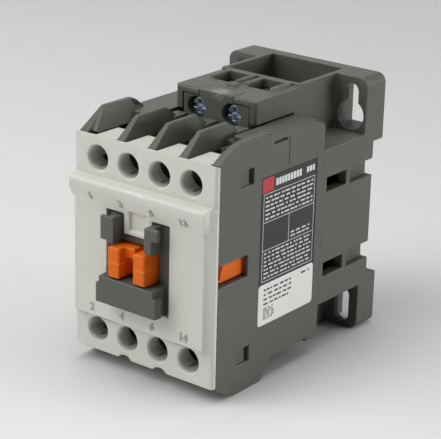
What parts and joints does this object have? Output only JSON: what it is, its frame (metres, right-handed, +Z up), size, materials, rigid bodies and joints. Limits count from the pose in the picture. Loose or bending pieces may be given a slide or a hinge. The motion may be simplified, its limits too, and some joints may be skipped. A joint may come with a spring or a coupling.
{
  "type": "industrial contactor",
  "caption": "Upright power contactor with screw terminals, an orange sliding contact carrier, a coil terminal box on top and a rear base for a mounting rail or panel screws.",
  "frame": {"origin": "middle of the width and depth at the level of the lowest barrier edges", "axes": "+X to the viewer's right, +Y back to the mounting surface, +Z up"},
  "size_m": [0.045, 0.0764, 0.0698],
  "materials": {
    "light_grey_plastic": "fine matte moulded",
    "dark_grey_plastic": "fine matte moulded",
    "orange_plastic": "satin moulded",
    "label_film": "satin printed film",
    "terminal_brass": "stamped",
    "contact_silver": "pressed",
    "copper": "drawn",
    "core_steel": "stacked sheet",
    "spring_steel": "drawn wire",
    "zinc_steel": "blue zinc plate",
    "rubber": "moulded"
  },
  "bodies": {
    "housing": {"front_cover": "light_grey_plastic", "main_frame": "dark_grey_plastic", "base_frame": "dark_grey_plastic", "rating_label": "label_film", "line_terminals": "terminal_brass", "load_terminals": "terminal_brass", "fixed_tips": "contact_silver", "coil_bobbin": "dark_grey_plastic", "coil_winding": "copper", "coil_terminals": "terminal_brass", "fixed_core": "core_steel", "shading_rings": "copper", "core_cushion": "rubber", "return_springs": "spring_steel", "rail_clip_spring": "spring_steel"},
    "carrier": {"contact_carrier": "orange_plastic", "armature": "core_steel", "armature_key": "zinc_steel", "moving_bridges": "copper", "moving_tips": "contact_silver", "contact_springs": "spring_steel"},
    "clip": {"rail_clip": "dark_grey_plastic"},
    "line_washer_1": {"line_washer_1": "zinc_steel"},
    "line_screw_1": {"line_screw_1": "zinc_steel"},
    "line_washer_2": {"line_washer_2": "zinc_steel"},
    "line_screw_2": {"line_screw_2": "zinc_steel"},
    "line_washer_3": {"line_washer_3": "zinc_steel"},
    "line_screw_3": {"line_screw_3": "zinc_steel"},
    "line_washer_4": {"line_washer_4": "zinc_steel"},
    "line_screw_4": {"line_screw_4": "zinc_steel"},
    "load_washer_1": {"load_washer_1": "zinc_steel"},
    "load_screw_1": {"load_screw_1": "zinc_steel"},
    "load_washer_2": {"load_washer_2": "zinc_steel"},
    "load_screw_2": {"load_screw_2": "zinc_steel"},
    "load_washer_3": {"load_washer_3": "zinc_steel"},
    "load_screw_3": {"load_screw_3": "zinc_steel"},
    "load_washer_4": {"load_washer_4": "zinc_steel"},
    "load_screw_4": {"load_screw_4": "zinc_steel"},
    "coil_clamp_1": {"coil_clamp_1": "zinc_steel"},
    "coil_screw_1": {"coil_screw_1": "zinc_steel"},
    "coil_clamp_2": {"coil_clamp_2": "zinc_steel"},
    "coil_screw_2": {"coil_screw_2": "zinc_steel"}
  },
  "joints": [
    {"name": "carrier_slide", "type": "slide", "parent": "housing", "child": "carrier", "axis": [0, 1, 0], "range_m": [0, 0.0032], "stiffness_N_per_m": 1200, "springref_m": -0.004, "deforming": ["return_springs"]},
    {"name": "rail_clip_slide", "type": "slide", "parent": "housing", "child": "clip", "axis": [0, 0, -1], "range_m": [0, 0.003], "stiffness_N_per_m": 1000, "springref_m": -0.003, "deforming": ["rail_clip_spring"]},
    {"name": "line_washer_1_slide", "type": "slide", "parent": "housing", "child": "line_washer_1", "axis": [0, -1, 0], "range_m": [0, 0.003]},
    {"name": "line_screw_1_turn", "type": "hinge", "parent": "line_washer_1", "child": "line_screw_1", "pos_m": [-0.0147, -0.02075, 0.05525], "axis": [0, -1, 0], "range_deg": [0, 1800]},
    {"name": "line_washer_2_slide", "type": "slide", "parent": "housing", "child": "line_washer_2", "axis": [0, -1, 0], "range_m": [0, 0.003]},
    {"name": "line_screw_2_turn", "type": "hinge", "parent": "line_washer_2", "child": "line_screw_2", "pos_m": [-0.0049, -0.02075, 0.05525], "axis": [0, -1, 0], "range_deg": [0, 1800]},
    {"name": "line_washer_3_slide", "type": "slide", "parent": "housing", "child": "line_washer_3", "axis": [0, -1, 0], "range_m": [0, 0.003]},
    {"name": "line_screw_3_turn", "type": "hinge", "parent": "line_washer_3", "child": "line_screw_3", "pos_m": [0.0049, -0.02075, 0.05525], "axis": [0, -1, 0], "range_deg": [0, 1800]},
    {"name": "line_washer_4_slide", "type": "slide", "parent": "housing", "child": "line_washer_4", "axis": [0, -1, 0], "range_m": [0, 0.003]},
    {"name": "line_screw_4_turn", "type": "hinge", "parent": "line_washer_4", "child": "line_screw_4", "pos_m": [0.0147, -0.02075, 0.05525], "axis": [0, -1, 0], "range_deg": [0, 1800]},
    {"name": "load_washer_1_slide", "type": "slide", "parent": "housing", "child": "load_washer_1", "axis": [0, -1, 0], "range_m": [0, 0.003]},
    {"name": "load_screw_1_turn", "type": "hinge", "parent": "load_washer_1", "child": "load_screw_1", "pos_m": [-0.0147, -0.02075, 0.00995], "axis": [0, -1, 0], "range_deg": [0, 1800]},
    {"name": "load_washer_2_slide", "type": "slide", "parent": "housing", "child": "load_washer_2", "axis": [0, -1, 0], "range_m": [0, 0.003]},
    {"name": "load_screw_2_turn", "type": "hinge", "parent": "load_washer_2", "child": "load_screw_2", "pos_m": [-0.0049, -0.02075, 0.00995], "axis": [0, -1, 0], "range_deg": [0, 1800]},
    {"name": "load_washer_3_slide", "type": "slide", "parent": "housing", "child": "load_washer_3", "axis": [0, -1, 0], "range_m": [0, 0.003]},
    {"name": "load_screw_3_turn", "type": "hinge", "parent": "load_washer_3", "child": "load_screw_3", "pos_m": [0.0049, -0.02075, 0.00995], "axis": [0, -1, 0], "range_deg": [0, 1800]},
    {"name": "load_washer_4_slide", "type": "slide", "parent": "housing", "child": "load_washer_4", "axis": [0, -1, 0], "range_m": [0, 0.003]},
    {"name": "load_screw_4_turn", "type": "hinge", "parent": "load_washer_4", "child": "load_screw_4", "pos_m": [0.0147, -0.02075, 0.00995], "axis": [0, -1, 0], "range_deg": [0, 1800]},
    {"name": "coil_clamp_1_slide", "type": "slide", "parent": "housing", "child": "coil_clamp_1", "axis": [0, 1, 0], "range_m": [0, 0.003]},
    {"name": "coil_screw_1_turn", "type": "hinge", "parent": "coil_clamp_1", "child": "coil_screw_1", "pos_m": [-0.0062, 0.00225, 0.06405], "axis": [0, 1, 0], "range_deg": [0, 1800]},
    {"name": "coil_clamp_2_slide", "type": "slide", "parent": "housing", "child": "coil_clamp_2", "axis": [0, 1, 0], "range_m": [0, 0.003]},
    {"name": "coil_screw_2_turn", "type": "hinge", "parent": "coil_clamp_2", "child": "coil_screw_2", "pos_m": [0.0048, 0.00225, 0.06405], "axis": [0, 1, 0], "range_deg": [0, 1800]}
  ],
  "couplings": [
    {"joint": "line_screw_1_turn", "follows": "line_washer_1_slide", "rad_per_m": 10472},
    {"joint": "line_screw_2_turn", "follows": "line_washer_2_slide", "rad_per_m": 10472},
    {"joint": "line_screw_3_turn", "follows": "line_washer_3_slide", "rad_per_m": 10472},
    {"joint": "line_screw_4_turn", "follows": "line_washer_4_slide", "rad_per_m": 10472},
    {"joint": "load_screw_1_turn", "follows": "load_washer_1_slide", "rad_per_m": 10472},
    {"joint": "load_screw_2_turn", "follows": "load_washer_2_slide", "rad_per_m": 10472},
    {"joint": "load_screw_3_turn", "follows": "load_washer_3_slide", "rad_per_m": 10472},
    {"joint": "load_screw_4_turn", "follows": "load_washer_4_slide", "rad_per_m": 10472},
    {"joint": "coil_screw_1_turn", "follows": "coil_clamp_1_slide", "rad_per_m": 10472},
    {"joint": "coil_screw_2_turn", "follows": "coil_clamp_2_slide", "rad_per_m": 10472}
  ]
}
